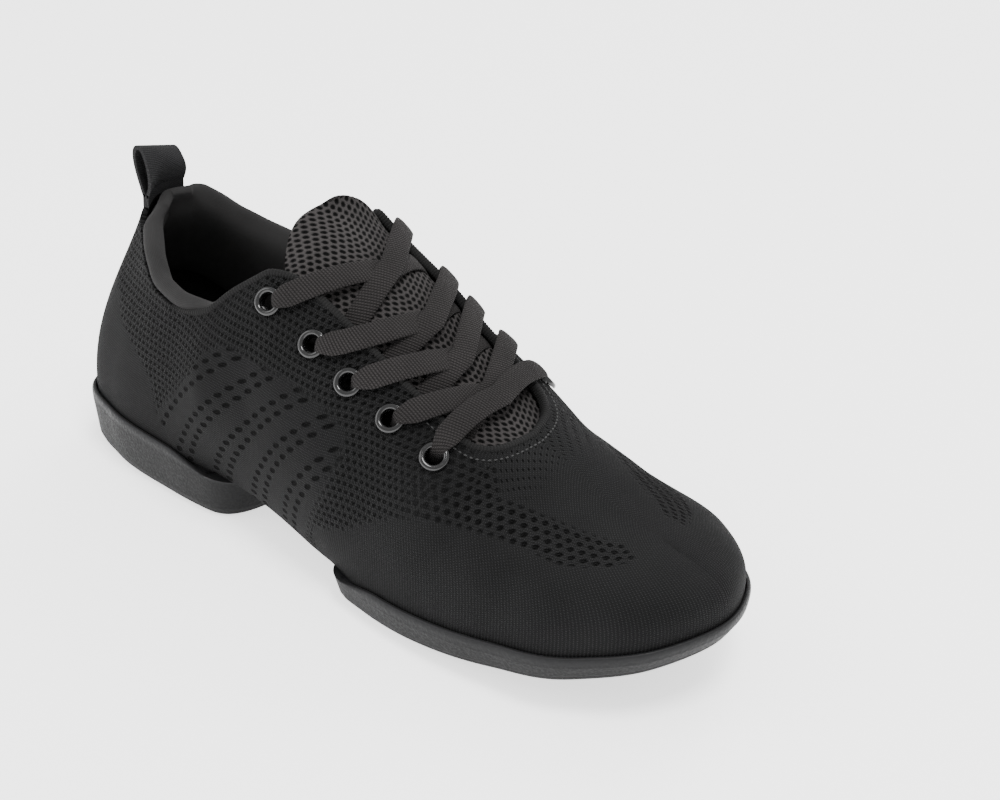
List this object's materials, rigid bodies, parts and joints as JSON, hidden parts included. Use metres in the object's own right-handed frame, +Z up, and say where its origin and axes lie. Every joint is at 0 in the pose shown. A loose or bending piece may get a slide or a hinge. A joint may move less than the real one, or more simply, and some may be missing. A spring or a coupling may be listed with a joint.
{
  "type": "dance sneaker",
  "caption": "Low laced dance sneaker for the right foot, with a knitted upper, padded collar and tongue, heel pull loop and a sole split under the arch.",
  "frame": {"origin": "on the floor, under the middle of the shoe's box", "axes": "+X forward from the heel to the toe, +Y to the medial side (the big toe's side, on the left of a right shoe seen from behind), +Z up"},
  "size_m": [0.2618, 0.092, 0.1114],
  "materials": {
    "sole_rubber": "matte, fine moulded texture with a smoother lip",
    "black_knit": "matte knit with open and dense zones",
    "lining_jersey": "soft smooth jersey over padding",
    "tongue_mesh": "padded open mesh",
    "insole_foam": "brushed fabric over foam",
    "loop_webbing": "twill webbing",
    "eyelet_metal": "gloss black enamel",
    "lace_weave": "flat woven lace"
  },
  "bodies": {
    "root": {"heel_sole": "sole_rubber", "forefoot_sole": "sole_rubber", "upper": "black_knit", "insole": "insole_foam", "collar_lining": "lining_jersey", "tongue": "tongue_mesh", "pull_loop": "loop_webbing", "eyelet_lateral_1": "eyelet_metal", "eyelet_lateral_2": "eyelet_metal", "eyelet_lateral_3": "eyelet_metal", "eyelet_lateral_4": "eyelet_metal", "eyelet_lateral_5": "eyelet_metal", "eyelet_medial_1": "eyelet_metal", "eyelet_medial_2": "eyelet_metal", "eyelet_medial_3": "eyelet_metal", "eyelet_medial_4": "eyelet_metal", "eyelet_medial_5": "eyelet_metal", "lace_bar": "lace_weave", "lace_cross_1": "lace_weave", "lace_cross_2": "lace_weave", "lace_cross_3": "lace_weave", "lace_cross_4": "lace_weave"}
  },
  "joints": []
}
